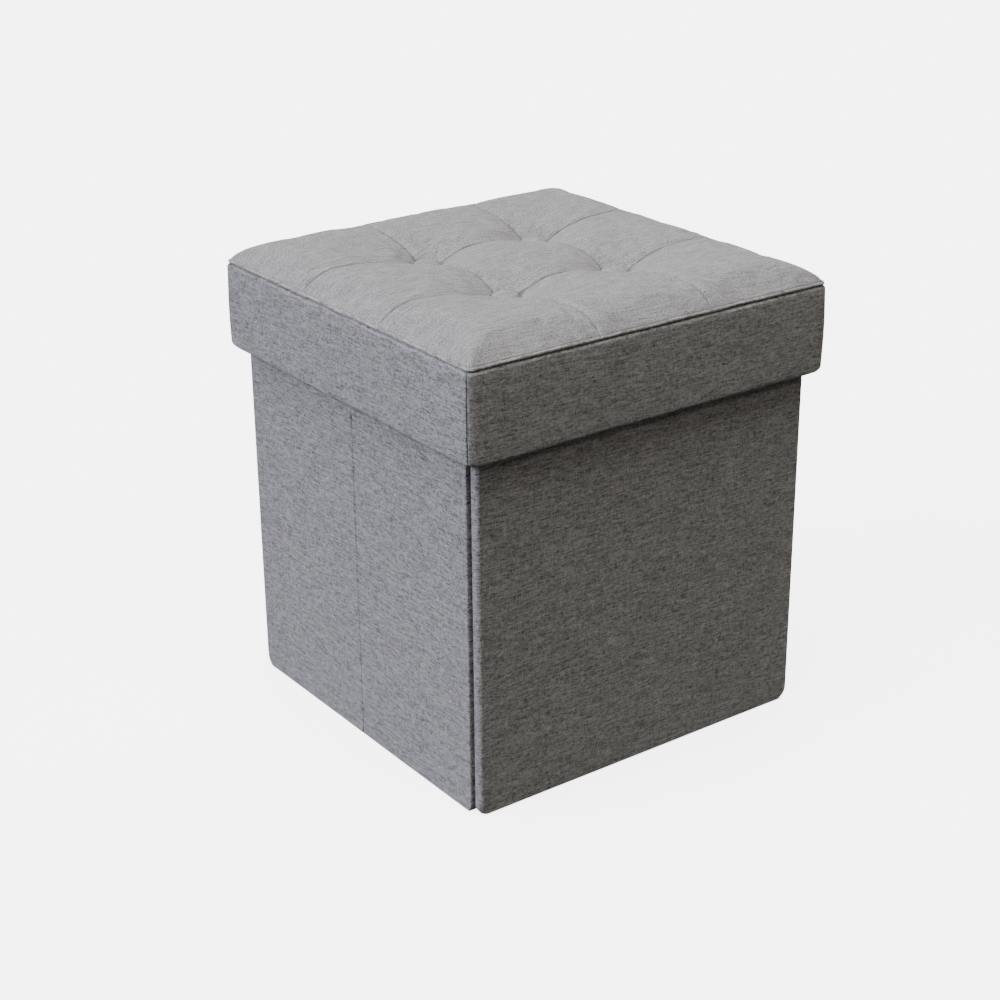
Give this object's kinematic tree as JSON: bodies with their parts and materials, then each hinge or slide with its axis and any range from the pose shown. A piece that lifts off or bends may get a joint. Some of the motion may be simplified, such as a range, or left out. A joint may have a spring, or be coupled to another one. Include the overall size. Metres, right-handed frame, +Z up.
{
  "type": "folding storage ottoman",
  "caption": "Square folding storage ottoman in grey linen-look fabric: tufted padded lid with an overhanging skirt lifts off a box of hinged wall panels with a drop-in floor.",
  "frame": {"origin": "on the ground under the middle of the box", "axes": "+Z up; -Y out of the one-piece front wall; -X out of the left wall, one of the two with a fold line"},
  "size_m": [0.3824, 0.3824, 0.423],
  "materials": {
    "linen": "matte woven",
    "lining": "matte non-woven",
    "board": "raw fibreboard",
    "foam": "open-cell foam",
    "steel": "plain"
  },
  "bodies": {
    "front": {"front_cover": "linen", "front_board": "board", "front_lining": "lining", "front_hem": "linen", "front_left_corner_strip": "lining", "front_right_corner_strip": "lining", "floor_wrap": "lining", "floor_board": "board", "floor_lining": "lining", "floor_pull_tab": "linen"},
    "left_front": {"left_front_cover": "linen", "left_front_board": "board", "left_front_lining": "lining", "left_front_hem": "linen"},
    "left_rear": {"left_rear_cover": "linen", "left_rear_board": "board", "left_rear_lining": "lining", "left_rear_hem": "linen", "left_crease_strip": "linen"},
    "back": {"back_cover": "linen", "back_board": "board", "back_lining": "lining", "back_hem": "linen", "back_left_corner_strip": "lining", "back_right_corner_strip": "lining"},
    "right_front": {"right_front_cover": "linen", "right_front_board": "board", "right_front_lining": "lining", "right_front_hem": "linen"},
    "right_rear": {"right_rear_cover": "linen", "right_rear_board": "board", "right_rear_lining": "lining", "right_rear_hem": "linen", "right_crease_strip": "linen"},
    "lid": {"lid_board": "board", "lid_foam": "foam", "lid_top_cover": "linen", "lid_lining": "lining", "lid_welt": "linen", "skirt_front_board": "board", "skirt_front_cover": "linen", "skirt_right_board": "board", "skirt_right_cover": "linen", "skirt_back_board": "board", "skirt_back_cover": "linen", "skirt_left_board": "board", "skirt_left_cover": "linen", "tuft_button_front_left": "linen", "tuft_washer_front_left": "steel", "tuft_button_front_right": "linen", "tuft_washer_front_right": "steel", "tuft_button_back_left": "linen", "tuft_washer_back_left": "steel", "tuft_button_back_right": "linen", "tuft_washer_back_right": "steel"}
  },
  "joints": [
    {"name": "lid_lift", "type": "slide", "parent": "front", "child": "lid", "axis": [0, 0, 1], "range_m": [0, 0.3]},
    {"name": "fold", "type": "hinge", "parent": "front", "child": "left_front", "pos_m": [-0.1719, -0.1713, 0.19], "axis": [0, 0, -1], "range_deg": [0, 90], "deforming": ["left_front_hem", "front_left_corner_strip"]},
    {"name": "left_crease", "type": "hinge", "parent": "left_front", "child": "left_rear", "pos_m": [-0.1803, 0, 0.19], "axis": [0, 0, -1], "range_deg": [-180, 0], "deforming": ["left_rear_hem", "left_crease_strip"]},
    {"name": "left_back_corner", "type": "hinge", "parent": "left_rear", "child": "back", "pos_m": [-0.1719, 0.1713, 0.19], "axis": [0, 0, -1], "range_deg": [0, 90], "deforming": ["back_hem", "back_left_corner_strip", "back_right_corner_strip"]},
    {"name": "right_front_corner", "type": "hinge", "parent": "front", "child": "right_front", "pos_m": [0.1719, -0.1713, 0.19], "axis": [0, 0, -1], "range_deg": [-90, 0], "deforming": ["right_front_hem", "front_right_corner_strip"]},
    {"name": "right_crease", "type": "hinge", "parent": "right_front", "child": "right_rear", "pos_m": [0.1803, 0, 0.19], "axis": [0, 0, -1], "range_deg": [0, 180], "deforming": ["right_rear_hem", "right_crease_strip"]}
  ],
  "couplings": [
    {"joint": "left_crease", "follows": "fold", "ratio": -2},
    {"joint": "left_back_corner", "follows": "fold", "ratio": 1},
    {"joint": "right_front_corner", "follows": "fold", "ratio": -1},
    {"joint": "right_crease", "follows": "fold", "ratio": 2}
  ]
}
